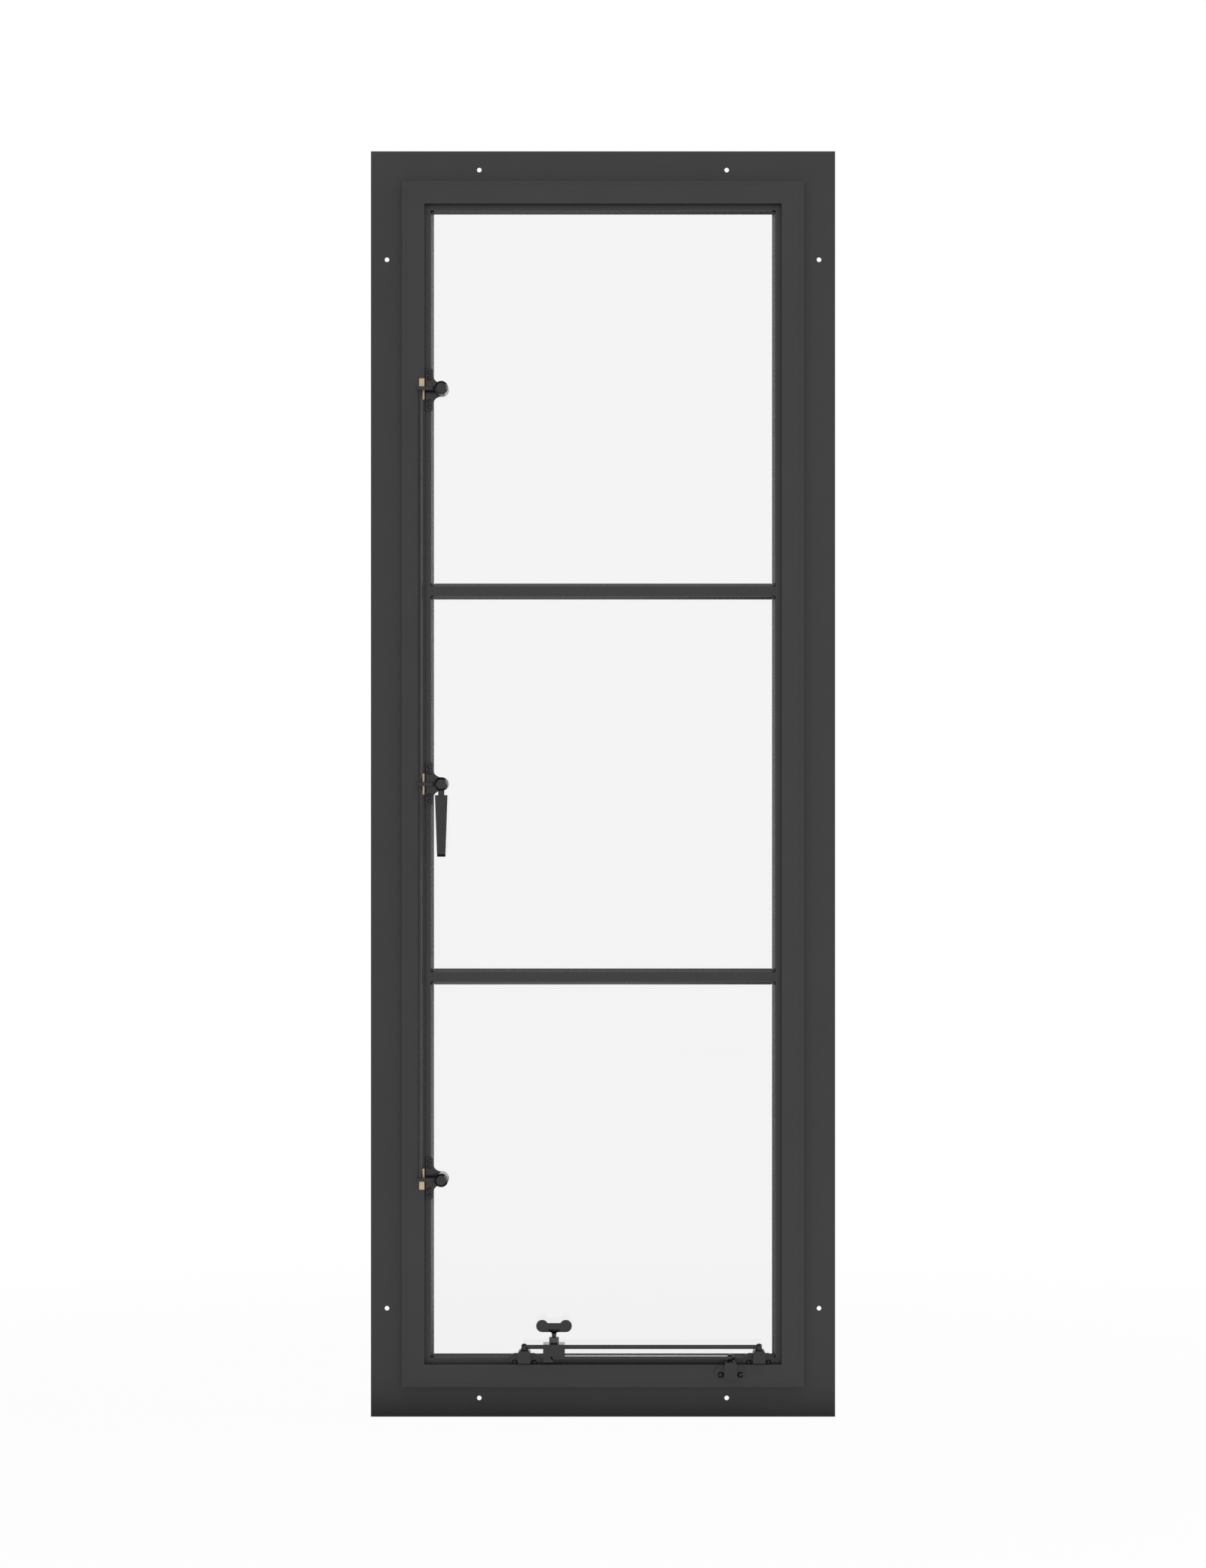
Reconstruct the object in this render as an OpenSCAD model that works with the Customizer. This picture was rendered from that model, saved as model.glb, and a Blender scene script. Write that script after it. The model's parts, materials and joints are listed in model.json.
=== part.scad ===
// Steel casement window of one tall outward opening sash with three panes.
// X runs to the right as seen from the room, Y out of the building and Z up.
// The origin is on the room side of the nailing flange, at the middle of its lower nail row.

/* [Frame] */
// Width of the frame body over both jambs
frame_w = 609.6; // [450:0.1:900]
// Height of the frame body over sill and head
frame_h = 1828.8; // [1500:0.1:2200]
// Depth of the frame body from its room face to its outer face
frame_d = 31; // [29:0.5:32]
// Width of the room face of each frame member
face_w = 34; // [30:0.5:40]
// Depth of the nose that overlaps the sash edge
nose_d = 12; // [8:0.5:12]
// Width of the hollow box behind the nose
box_w = 22; // [16:0.5:24]
// Wall thickness of the frame tube
frame_wall = 2; // [1:0.1:2.5]
// Width of the lowered strip along the outer edge of the room face
edge_strip_w = 7; // [4:0.5:12]
// Drop of that strip below the room face
edge_strip_drop = 1; // [0.5:0.1:1.5]

/* [Nailing flange] */
// Width of the flange outside the frame body
flange_w = 48.5; // [42:0.5:60]
// Thickness of the flange
flange_t = 2; // [1:0.5:3]
// Distance of the flange behind the room face of the frame
flange_back = 24; // [16:0.5:26]
// Diameter of the nail holes
nail_hole_d = 7; // [4:0.5:9]
// Distance of the side nail holes from the outer edge
side_hole_in = 24.5; // [12:0.5:30]
// Distance of the head and sill nail holes from the outer edge
end_hole_in = 28.5; // [12:0.5:32]
// Distance of each nail hole from the nearest flange corner
hole_corner = 165; // [90:1:200]

/* [Sash] */
// Width of sash seen between the frame opening and the glazing beads
sash_show = 8.5; // [7:0.5:12]
// Distance of the sash face behind the room face of the frame
sash_recess = 17; // [16.5:0.5:19]
// Clearance between the frame box and the sash tube
sash_gap = 4; // [2:0.5:6]
// Wall thickness of the sash tube
sash_wall = 2; // [1:0.1:2.5]
// Width of the outer lap over the frame
lap_w = 12; // [7:0.5:14]
// Thickness of the outer lap and of the glazing stop
lap_t = 3; // [2:0.5:5]
// Width of the glazing stop outside the glass
stop_w = 4; // [2:0.5:5]
// Width of the weather seal under the lap
seal_w = 6; // [4:0.5:7]

/* [Glazing] */
// Thickness of the glass
glass_t = 6; // [4:0.5:8]
// Distance of the glass behind the sash face
glass_back = 10; // [8:0.5:12]
// Clearance between the glass edge and the steel round it
glass_edge_gap = 1; // [0.5:0.1:2]
// Width of the room face of each glazing bar
bar_face_w = 14.4; // [12:0.1:24]
// Width of a glazing bead on the glass
bead_w = 5; // [4:0.5:6]
// Width of the flat top of a bead
bead_top_w = 1.2; // [0.6:0.1:2]
// Drop of the bead top below the sash face
bead_drop = 0.6; // [0.3:0.1:2]

/* [Lock] */
// Distance between neighbouring lock pivots
lock_pitch = 599; // [400:1:640]
// Distance of the lock pivots from the edge of the frame opening
pivot_in = 26.3; // [24:0.1:30]
// Width of the straight leaf of a lock plate
leaf_w = 11.2; // [9:0.1:12]
// Height of the straight leaf of a lock plate
leaf_h = 64; // [60:0.5:80]
// Clearance between the frame opening and a lock plate
leaf_gap = 1.3; // [0.5:0.1:2]
// Rounding of the leaf corners on the glass side
leaf_corner_r = 2.8; // [1:0.1:5]
// Thickness of a lock plate
plate_t = 3.5; // [2.5:0.1:4.5]
// Radius of the round lobe of a lock plate round the pivot
lobe_r = 10.2; // [9.6:0.1:10.4]
// Radius of the hollow curves between leaf and lobe
hollow_r = 12.9; // [10:0.1:14]
// Step between the edge of the lobe and the fixed boss on it
boss_step = 0.2; // [0.1:0.1:0.6]
// Radius of the spindle
spindle_r = 3; // [2:0.1:3.5]
// Distance from the pivot to the tie rod
arm_reach = 32; // [30.5:0.1:33]
// Length of the arm past the tie rod
arm_tip = 5.2; // [3.5:0.1:7]
// Distance from the pivot to the end of the bar of an arm
arm_bar_end = 12.9; // [11.5:0.1:14]
// Height of the bar of an arm
arm_h = 5.3; // [5:0.1:7]
// Height of the web between the bar and the knob of an arm
arm_web_h = 6.9; // [5.4:0.1:8]
// Climb of that web up the side of the knob
arm_web_rise = 3; // [1:0.1:5]
// Thickness of an arm
arm_t = 5; // [3:0.1:7]
// Diameter of a lock knob
knob_d = 20.5; // [17:0.1:23]
// Thickness of a lock knob
knob_t = 10; // [8:0.1:14]
// Chamfer round the front of a knob
knob_chamfer = 3; // [1:0.1:4]
// Diameter of the tie rod
tie_rod_d = 6; // [5.6:0.1:7]
// Diameter of the pins through the tie rod
tie_pin_d = 2.6; // [2:0.1:2.8]
// Width of a brass strike on the frame
strike_w = 7.8; // [6:0.1:10]
// Height of a brass strike
strike_h = 34; // [24:0.5:44]
// Thickness of a brass strike
strike_t = 2; // [1:0.1:3]
// Length of the sloping ends of a strike
strike_ramp = 1.2; // [0.5:0.1:8]

/* [Lever] */
// Distance from the lock pivot to the tip of the lever
lever_len = 110; // [80:0.5:140]
// Width of the neck below the knob
neck_w = 10.5; // [8:0.1:14]
// Length of neck seen below the knob
neck_len = 6.6; // [4:0.1:12]
// Width of the grip at its upper end
grip_top_w = 19; // [16:0.1:24]
// Width of the grip at its tip
grip_tip_w = 12.6; // [10:0.1:18]
// Thickness of the grip
grip_t = 9; // [7:0.1:10]
// Distance of the back of the grip before the front of the arms
grip_back = 0.5; // [0.3:0.1:1]
// Drop of the neck behind the front of the grip
neck_drop = 1; // [0.5:0.1:2]
// Height over which the grip is cut back at its tip
grip_cut = 3.4; // [2:0.1:5]
// Rounding of the grip edges
grip_round = 1.6; // [1:0.1:3]

/* [Stay] */
// Distance of the stay line in front of the glass
stay_out = 32; // [30:0.5:34]
// Height of the stay rod above the edge of the frame opening
stay_up = 27.6; // [26:0.1:34]
// Diameter of the stay rod
stay_rod_d = 6.3; // [5:0.1:7]
// Distance of the right stay bracket from the edge of the frame opening
stay_in = 34.3; // [30:0.1:50]
// Distance between the two stay brackets
stay_len = 355.8; // [300:0.1:370]
// Distance of the rod ends inside the posts of the brackets
rod_end_in = 1; // [0.5:0.1:2]
// Diameter of the domed posts of the stay brackets
post_d = 10.4; // [9.8:0.1:12]
// Diameter of the flared foot of a post
post_foot_d = 15; // [12:0.1:15.6]
// Height of the flared foot of a post
post_foot_h = 2.3; // [1.5:0.1:3]
// Distance of the top of a lug below the stay rod centre
lug_below_rod = 5.9; // [5:0.1:6.5]
// Width of the oval plate of a stay bracket
oval_w = 48.5; // [44:0.5:56]
// Height of the oval plate of a stay bracket
oval_h = 22; // [18:0.5:22]
// Thickness of the oval plate of a stay bracket
oval_t = 3; // [2:0.1:4]
// Width of the lug of a stay bracket
lug_w = 18.6; // [16:0.1:22]
// Distance of the front of a lug before the stay line
lug_front = 8; // [7.8:0.1:9]
// Height of the sloping shoulders of a lug
shoulder_h = 3.8; // [3:0.1:7]
// Width of the top of a lug
lug_top_w = 16; // [15.2:0.1:18]
// Distance of the lug of a sash bracket above the edge of the frame opening
lug_lift = 3; // [1:0.1:6]
// Distance of the middle of its oval plate above that edge
sash_plate_up = 4.7; // [2:0.1:6]
// Distance of the middle of the oval plate on the frame below that edge
frame_plate_down = 11.4; // [8:0.1:15]
// Distance of the lug on the frame above the lower edge of its oval plate
frame_lug_up = 2; // [1:0.1:5]
// Distance of the sliding block centre from the left stay bracket
block_in = 45.1; // [32:0.1:80]
// Width of the sliding block
block_w = 32.8; // [28:0.1:38]
// Height of the sliding block
block_h = 18.7; // [18:0.1:22]
// Depth of the sliding block
block_d = 31; // [28:0.5:34]
// Chamfer along the upper ends of the block
block_chamfer = 1.2; // [0.4:0.1:2]
// Distance of the arm pin left of the middle of the block
block_pin_off = 1.7; // [0:0.1:3]
// Drop of the block's lug below the block
block_lug_h = 8.3; // [6:0.1:9.5]
// Distance of the foot of that lug left of the middle of the block
block_lug_in = 0.3; // [0:0.1:3]
// Slope of the right edge of that lug
block_lug_slope = 6; // [1:0.1:7]
// Height of the stay rod centre above the underside of the block
rod_in_block = 13.3; // [8:0.1:13.5]
// Distance between opposite corners of the eight sided collar on the block
collar_d = 14.6; // [12:0.1:18]
// Height of the collar on the block
collar_h = 9.7; // [6:0.1:14]
// Radius of the thumb screw shank
shank_r = 3; // [2:0.1:3.5]
// Diameter of the thumb screw stem
stem_d = 6.6; // [6.2:0.1:8]
// Height of the stem below the wings
stem_h = 7.3; // [6:0.1:10]
// Diameter of the flared seat under the wings
flare_d = 19.2; // [14:0.1:20]
// Height of the flared seat above the lower edge of the wings
flare_up = 3.8; // [2:0.1:6]
// Height of the straight rim of the flared seat
flare_rim = 0.8; // [0.3:0.1:1.5]
// Radius of the hollow curve under the flared seat
cove_r = 3.4; // [2:0.1:5]
// Distance of the wing lobes from the screw axis
wing_reach = 17.9; // [15:0.1:18]
// Radius of a wing lobe
wing_lobe_r = 9.1; // [7:0.1:9.2]
// Height of the web between the wings
wing_web_h = 13.4; // [10:0.1:15]
// Thickness of the wings
wing_t = 5; // [3:0.1:7]
// Width of the stay arm
stay_arm_w = 16; // [12:0.5:18]
// Thickness of the stay arm
stay_arm_t = 5; // [3:0.1:6]
// Distance of the arm pivot on the frame from the right stay bracket
arm_pivot_in = 43.2; // [30:0.1:80]
// Diameter of the ball shaped eye of the arm
arm_eye_d = 11.4; // [10.4:0.1:13]
// Distance of the flat underside of the eye below the middle of the arm
eye_flat = 4.2; // [3:0.1:5]
// Distance of the end of the pin below the top of the eye
pin_end_in = 0.8; // [0.5:0.1:2]
// Radius of the arm pivot pins
arm_pin_r = 3; // [2:0.1:3.5]

/* [Hinges] */
// Height of each hinge
hinge_h = 76; // [60:1:110]
// Distance of the outer hinges from head and sill
hinge_in = 170; // [100:1:300]
// Diameter of the hinge knuckle
knuckle_d = 10; // [8:0.1:11]
// Height of each end of the knuckle
hinge_end_h = 19; // [12:0.5:24]
// Width of the foot of an end of the knuckle
hinge_foot_w = 6; // [4:0.5:8]
// Distance of the knuckle from the edge of the sash lap
knuckle_gap = 1.2; // [0.5:0.1:3]
// Distance of the knuckle from the outer face of the frame
knuckle_stand = 2; // [1:0.1:4]
// Thickness of the sash leaf of a hinge
hinge_leaf_t = 2.5; // [2:0.1:3]
// Width of the sash leaf of a hinge
hinge_leaf_w = 30; // [20:0.5:33]

/* [Fits] */
// Radial clearance of pins and shafts in their holes
pin_fit = 0.1; // [0.05:0.01:0.15]
// Gap between faces that slide past each other
slide_gap = 0.3; // [0.2:0.05:0.5]
// Gap between the tie rod and what it passes
rod_gap = 0.6; // [0.4:0.1:1]

/* [Hidden] */

steel_paint = [0.27, 0.26, 0.27];
bead_paint = [0.31, 0.30, 0.31];
hardware_paint = [0.30, 0.29, 0.31];
brass = [0.78, 0.68, 0.47];
pane_tint = [0.90, 0.95, 0.95, 0.35];
seal_black = [0.08, 0.08, 0.08];
round_steps = 64;
small_steps = 32;
ball_steps = 24;
collar_sides = 8;
cut_over = 1;

// Height of the frame body above the lower nail row
nail_row_up = flange_w - end_hole_in;
opening_x = frame_w / 2 - face_w;

// Depths are measured outwards from the room face of the frame
glass_v = sash_recess + glass_back;
stop_v = glass_v + glass_t;
sash_back_v = stop_v + lap_t;

// Distances inwards from the outer edge of the frame body
lap_in = box_w + sash_gap - lap_w;
tube_in = box_w + sash_gap;
rebate_in = face_w + sash_show;
rebate_x = frame_w / 2 - rebate_in;
rebate_h = frame_h - 2 * rebate_in;

// Three equal panes, bottom, middle and top
pane_h = (rebate_h - 2 * bar_face_w) / 3;
pane_pitch = pane_h + bar_face_w;

// The tie rod lies over the strikes and the arms lie over the tie rod
tie_rod_v = -strike_t - rod_gap - tie_rod_d / 2;
arm_back_v = tie_rod_v - tie_rod_d / 2 - rod_gap;
arm_front_v = arm_back_v - arm_t;
plate_v = sash_recess - plate_t;
pivot_x = -(opening_x - pivot_in);
boss_r = lobe_r - boss_step;
lock_mid_z = frame_h / 2;

// The stay is set out from the hinge side of the frame opening
stay_v = glass_v - stay_out;
stay_z = face_w + stay_up;
stay_right_x = opening_x - stay_in;
stay_left_x = stay_right_x - stay_len;
block_x = stay_left_x + block_in;
block_low_z = stay_z - rod_in_block;
block_top_z = block_low_z + block_h;
lug_top_z = stay_z - lug_below_rod;

// The stay arm turns on a pin under the block and on a post on the frame
block_pin_x = block_x - block_pin_off;
arm_pivot_x = stay_right_x - arm_pivot_in;
arm_top_z = block_low_z - slide_gap;
arm_low_z = arm_top_z - stay_arm_t;
arm_mid_z = arm_top_z - stay_arm_t / 2;
eye_low_z = arm_mid_z - eye_flat;

hinge_x = frame_w / 2 - lap_in + knuckle_gap + knuckle_d / 2;
hinge_v = frame_d + knuckle_stand + knuckle_d / 2;

// Everything is drawn from the middle of the sill's lower edge and then moved to the nail row
module in_place() translate([0, -flange_back, nail_row_up]) children();

// An outline in X and Z, made solid between two depths
module slab(near_v, far_v)
    translate([0, far_v, 0]) rotate([90, 0, 0]) linear_extrude(far_v - near_v) children();

// A profile of radius and height turned round an axis that points into the room
module turned(foot_v)
    translate([0, foot_v, 0]) rotate([90, 0, 0]) rotate_extrude($fn = round_steps) children();

// A bar along X with 45 degree ends, from a profile of [depth, inward distance]
module mitred_bar(length, reach) {
    intersection() {
        rotate([90, 0, 90]) linear_extrude(length, center = true) children();
        rotate([90, 0, 0]) linear_extrude(4 * reach, center = true)
            polygon([
                [-length / 2, 0], [length / 2, 0], [length / 2 - reach, reach], [reach - length / 2, reach]
            ]);
    }
}

// Places of the four sides of a rectangle of width w between the heights z0 and z1
module at_bottom(z0) translate([0, 0, z0]) children();
module at_top(z1) translate([0, 0, z1]) mirror([0, 0, 1]) children();
module at_left(w, z0, z1) translate([-w / 2, 0, (z0 + z1) / 2]) rotate([0, 90, 0]) children();
module at_right(w, z0, z1) mirror([1, 0, 0]) at_left(w, z0, z1) children();

module frame_profile() {
    difference() {
        polygon([
            [edge_strip_drop, 0], [edge_strip_drop, edge_strip_w], [0, edge_strip_w], [0, face_w],
            [nose_d, face_w], [nose_d, box_w], [frame_d, box_w], [frame_d, 0]
        ]);
        polygon([
            [edge_strip_drop + frame_wall, frame_wall], [edge_strip_drop + frame_wall, face_w - frame_wall],
            [nose_d - frame_wall, face_w - frame_wall], [nose_d - frame_wall, box_w - frame_wall],
            [frame_d - frame_wall, box_w - frame_wall], [frame_d - frame_wall, frame_wall]
        ]);
    }
}

module frame_bar(length) mitred_bar(length, face_w + cut_over) frame_profile();
module frame_head() color(steel_paint) in_place() at_top(frame_h) frame_bar(frame_w);
module frame_sill() color(steel_paint) in_place() at_bottom(0) frame_bar(frame_w);
module frame_left_jamb() color(steel_paint) in_place() at_left(frame_w, 0, frame_h) frame_bar(frame_h);
module frame_right_jamb() color(steel_paint) in_place() at_right(frame_w, 0, frame_h) frame_bar(frame_h);

flange_span_w = frame_w + 2 * flange_w;
flange_span_h = frame_h + 2 * flange_w;

// One side of the nailing flange with a nail hole near each end
module flange_bar(length, hole_in) {
    difference() {
        mitred_bar(length, flange_w) translate([flange_back, 0]) square([flange_t, flange_w]);
        for (side = [-1, 1])
            translate([side * (length / 2 - hole_corner), 0, hole_in])
                slab(flange_back - cut_over, flange_back + flange_t + cut_over)
                    circle(d = nail_hole_d, $fn = small_steps);
    }
}

module flange_head() color(steel_paint) in_place()
    at_top(frame_h + flange_w) flange_bar(flange_span_w, end_hole_in);
module flange_sill() color(steel_paint) in_place()
    at_bottom(-flange_w) flange_bar(flange_span_w, end_hole_in);
module flange_left() color(steel_paint) in_place()
    at_left(flange_span_w, -flange_w, frame_h + flange_w) flange_bar(flange_span_h, side_hole_in);
module flange_right() color(steel_paint) in_place()
    at_right(flange_span_w, -flange_w, frame_h + flange_w) flange_bar(flange_span_h, side_hole_in);

// Sash tube with its outer lap over the frame and its stop behind the glass
module sash_profile() {
    tube_out = tube_in - lap_in;
    tube_edge = rebate_in - lap_in;
    difference() {
        polygon([
            [sash_recess, tube_out], [sash_recess, tube_edge], [stop_v, tube_edge],
            [stop_v, tube_edge + stop_w], [sash_back_v, tube_edge + stop_w], [sash_back_v, 0],
            [stop_v, 0], [stop_v, tube_out]
        ]);
        translate([sash_recess + sash_wall, tube_out + sash_wall])
            square([sash_back_v - sash_recess - 2 * sash_wall, tube_edge - tube_out - 2 * sash_wall]);
    }
}

sash_w = frame_w - 2 * lap_in;
sash_h = frame_h - 2 * lap_in;
module sash_bar(length) mitred_bar(length, rebate_in - lap_in + stop_w) sash_profile();
module sash_top_rail() color(steel_paint) in_place() at_top(frame_h - lap_in) sash_bar(sash_w);
module sash_bottom_rail() color(steel_paint) in_place() at_bottom(lap_in) sash_bar(sash_w);
module sash_lock_stile() color(steel_paint) in_place()
    at_left(sash_w, lap_in, frame_h - lap_in) sash_bar(sash_h);
module sash_hinge_stile() color(steel_paint) in_place()
    at_right(sash_w, lap_in, frame_h - lap_in) sash_bar(sash_h);

// Hollow T bar between the panes, with its stop cut back to clear the stops of the stiles
module glazing_bar(row) {
    middle_z = rebate_in + row * pane_pitch - bar_face_w / 2;
    half = bar_face_w / 2;
    color(steel_paint) in_place() translate([0, 0, middle_z]) difference() {
        rotate([90, 0, 90]) linear_extrude(2 * rebate_x, center = true) difference() {
            polygon([
                [sash_recess, -half], [stop_v, -half], [stop_v, -half - stop_w],
                [sash_back_v, -half - stop_w], [sash_back_v, half + stop_w],
                [stop_v, half + stop_w], [stop_v, half], [sash_recess, half]
            ]);
            translate([sash_recess + sash_wall, sash_wall - half])
                square([sash_back_v - sash_recess - 2 * sash_wall, bar_face_w - 2 * sash_wall]);
        }
        for (side = [-1, 1])
            translate([side * rebate_x, (stop_v + sash_back_v) / 2, 0])
                cube([2 * stop_w, lap_t, bar_face_w + 2 * stop_w + 2 * cut_over], center = true);
    }
}

module glazing_bar_upper() glazing_bar(2);
module glazing_bar_lower() glazing_bar(1);

// Lower edge of a pane's rebate, counted from the bottom row
function pane_low(row) = rebate_in + row * pane_pitch;

module pane(row) color(pane_tint) in_place()
    translate([glass_edge_gap - rebate_x, glass_v, pane_low(row) + glass_edge_gap])
        cube([2 * (rebate_x - glass_edge_gap), glass_t, pane_h - 2 * glass_edge_gap]);

module glass_top() pane(2);
module glass_middle() pane(1);
module glass_bottom() pane(0);

// Sloping glazing bead that stops short of the corners of its pane
module bead(length)
    rotate([90, 0, 90]) linear_extrude(length - 2 * bead_w, center = true)
        polygon([
            [sash_recess + bead_drop, 0], [sash_recess + bead_drop, bead_top_w],
            [glass_v, bead_w], [glass_v, 0]
        ]);

module bead_set(row) {
    low = pane_low(row);
    high = low + pane_h;
    color(bead_paint) in_place() {
        at_bottom(low) bead(2 * rebate_x);
        at_top(high) bead(2 * rebate_x);
        at_left(2 * rebate_x, low, high) bead(pane_h);
        at_right(2 * rebate_x, low, high) bead(pane_h);
    }
}

module beads_top() bead_set(2);
module beads_middle() bead_set(1);
module beads_bottom() bead_set(0);

// Flat rubber ring between the outer face of the frame and the sash lap
module weather_seal() {
    outer = lap_in + cut_over;
    inner = outer + seal_w;
    color(seal_black) in_place() slab(frame_d, stop_v) difference() {
        translate([outer - frame_w / 2, outer]) square([frame_w - 2 * outer, frame_h - 2 * outer]);
        translate([inner - frame_w / 2, inner]) square([frame_w - 2 * inner, frame_h - 2 * inner]);
    }
}

// Outline of a lock plate about its pivot: a leaf on the stile, a lobe and two hollow curves
module lock_plate_outline() {
    leaf_left = leaf_gap - pivot_in;
    leaf_right = leaf_left + leaf_w;
    curve_x = leaf_right + hollow_r;
    curve_z = sqrt(pow(lobe_r + hollow_r, 2) - curve_x * curve_x);
    difference() {
        union() {
            translate([leaf_left, -leaf_h / 2]) square([leaf_w - leaf_corner_r, leaf_h]);
            translate([leaf_left, leaf_corner_r - leaf_h / 2]) square([leaf_w, leaf_h - 2 * leaf_corner_r]);
            for (end = [-1, 1])
                translate([leaf_right - leaf_corner_r, end * (leaf_h / 2 - leaf_corner_r)])
                    circle(r = leaf_corner_r, $fn = small_steps);
            circle(r = lobe_r, $fn = round_steps);
            polygon([
                [leaf_right, -curve_z], [curve_x, -curve_z], [0, 0], [curve_x, curve_z], [leaf_right, curve_z]
            ]);
        }
        for (end = [-1, 1]) translate([curve_x, end * curve_z]) circle(r = hollow_r, $fn = round_steps);
    }
}

// Plate with a boss that reaches through the frame opening to the plane of the arms
module lock_plate(place)
    color(hardware_paint) in_place() translate([pivot_x, 0, lock_mid_z + place * lock_pitch]) difference() {
        union() {
            slab(plate_v, sash_recess) lock_plate_outline();
            slab(arm_back_v + slide_gap, sash_recess) circle(r = boss_r, $fn = round_steps);
        }
        slab(arm_back_v - cut_over, sash_recess + cut_over)
            circle(r = spindle_r + pin_fit, $fn = small_steps);
    }

module lock_plate_top() lock_plate(1);
module lock_plate_middle() lock_plate(0);
module lock_plate_bottom() lock_plate(-1);

// Web that climbs from the bar of an arm to the side of its knob
module arm_web() {
    web_front_v = arm_front_v - arm_web_rise;
    web_in = boss_r - cut_over;
    difference() {
        linear_extrude(arm_web_h, center = true) polygon([
            [-web_in, arm_back_v], [-arm_bar_end, arm_back_v], [-arm_bar_end, arm_front_v],
            [-knob_d / 2, web_front_v], [-web_in, web_front_v]
        ]);
        slab(web_front_v - cut_over, arm_front_v) circle(r = knob_d / 2 + pin_fit, $fn = round_steps);
    }
}

// Hub on its spindle with an arm, whose pin carries the tie rod and rides on the strike
module lock_arm(place) {
    pin_tip_v = -strike_t - slide_gap;
    bar_length = arm_reach + arm_tip - arm_bar_end;
    color(hardware_paint) in_place() translate([pivot_x, 0, lock_mid_z + place * lock_pitch]) {
        slab(arm_front_v, arm_back_v) {
            translate([-arm_reach - arm_tip, -arm_h / 2]) square([bar_length, arm_h]);
            circle(r = boss_r, $fn = round_steps);
        }
        arm_web();
        slab(arm_front_v + arm_t / 2, plate_v) circle(r = spindle_r, $fn = small_steps);
        translate([-arm_reach, 0, 0])
            slab(arm_front_v + arm_t / 2, pin_tip_v) circle(d = tie_pin_d, $fn = small_steps);
    }
}

module lock_arm_top() lock_arm(1);
module lock_arm_middle() lock_arm(0);
module lock_arm_bottom() lock_arm(-1);

module lock_knob(place) {
    r = knob_d / 2;
    color(hardware_paint) in_place() translate([pivot_x, 0, lock_mid_z + place * lock_pitch])
        turned(arm_front_v) polygon([
            [0, 0], [r, 0], [r, knob_t - knob_chamfer], [r - knob_chamfer, knob_t], [0, knob_t]
        ]);
}

module lock_knob_top() lock_knob(1);
module lock_knob_middle() lock_knob(0);
module lock_knob_bottom() lock_knob(-1);

// Lever that hangs from the middle knob, with a tapered grip cut back at its tip
module lever_handle() {
    neck_low = -knob_d / 2 - neck_len;
    back_v = arm_front_v - grip_back;
    front_v = back_v - grip_t;
    near_v = front_v + grip_round;
    far_v = back_v - grip_round;
    tip_z = grip_round - lever_len;
    color(hardware_paint) in_place() translate([pivot_x, 0, lock_mid_z]) {
        difference() {
            slab(front_v + neck_drop, back_v) translate([-neck_w / 2, neck_low - 2 * grip_round])
                square([neck_w, neck_len + 2 * grip_round + knob_d / 2]);
            slab(front_v - cut_over, back_v + cut_over) circle(r = knob_d / 2 + pin_fit, $fn = round_steps);
        }
        hull() for (side = [-1, 1]) {
            translate([side * (grip_top_w / 2 - grip_round), near_v, neck_low - grip_round]) grip_corner();
            translate([side * (grip_top_w / 2 - grip_round), far_v, neck_low - grip_round]) grip_corner();
            translate([side * (grip_tip_w / 2 - grip_round), near_v, tip_z + grip_cut]) grip_corner();
            translate([side * (grip_tip_w / 2 - grip_round), far_v, tip_z]) grip_corner();
        }
    }
}

module grip_corner() sphere(r = grip_round, $fn = ball_steps);

// Rod that joins the three arms, cross drilled for their pins
module tie_rod() {
    end_z = lock_pitch + arm_h / 2;
    color(hardware_paint) in_place() translate([pivot_x - arm_reach, 0, lock_mid_z]) difference() {
        translate([0, tie_rod_v, -end_z]) cylinder(d = tie_rod_d, h = 2 * end_z, $fn = small_steps);
        for (place = [-1, 0, 1]) translate([0, 0, place * lock_pitch])
            slab(arm_back_v, 0) circle(r = tie_pin_d / 2 + pin_fit, $fn = small_steps);
    }
}

// Brass plates with sloping ends on which the arm pins ride
module strikes() {
    color(brass) in_place() for (place = [-1, 0, 1])
        translate([-opening_x - strike_w, 0, lock_mid_z + place * lock_pitch - strike_h / 2])
            rotate([90, 0, 90]) linear_extrude(strike_w)
                polygon([
                    [0, 0], [0, strike_h], [-strike_t, strike_h - strike_ramp], [-strike_t, strike_ramp]
                ]);
}

// Oval plate of a stay bracket about the height plate_z, with a lug from lug_low up to lug_high
module bracket_body(plate_back, plate_z, lug_low, lug_high) {
    end_x = (oval_w - oval_h) / 2;
    slab(plate_back - oval_t, plate_back) translate([0, plate_z]) {
        square([2 * end_x, oval_h], center = true);
        for (side = [-1, 1]) translate([side * end_x, 0]) circle(d = oval_h, $fn = round_steps);
    }
    slab(stay_v - lug_front, plate_back - oval_t / 2) polygon([
        [-lug_w / 2, lug_low], [lug_w / 2, lug_low], [lug_w / 2, lug_high - shoulder_h],
        [lug_top_w / 2, lug_high], [-lug_top_w / 2, lug_high], [-lug_w / 2, lug_high - shoulder_h]
    ]);
}

// Flared foot of a post that stands on a lug
module post_foot(top_r) translate([0, stay_v, 0]) rotate_extrude($fn = round_steps)
    polygon([
        [0, -cut_over], [post_foot_d / 2, -cut_over], [post_foot_d / 2, 0],
        [top_r, post_foot_h], [0, post_foot_h]
    ]);

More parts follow.
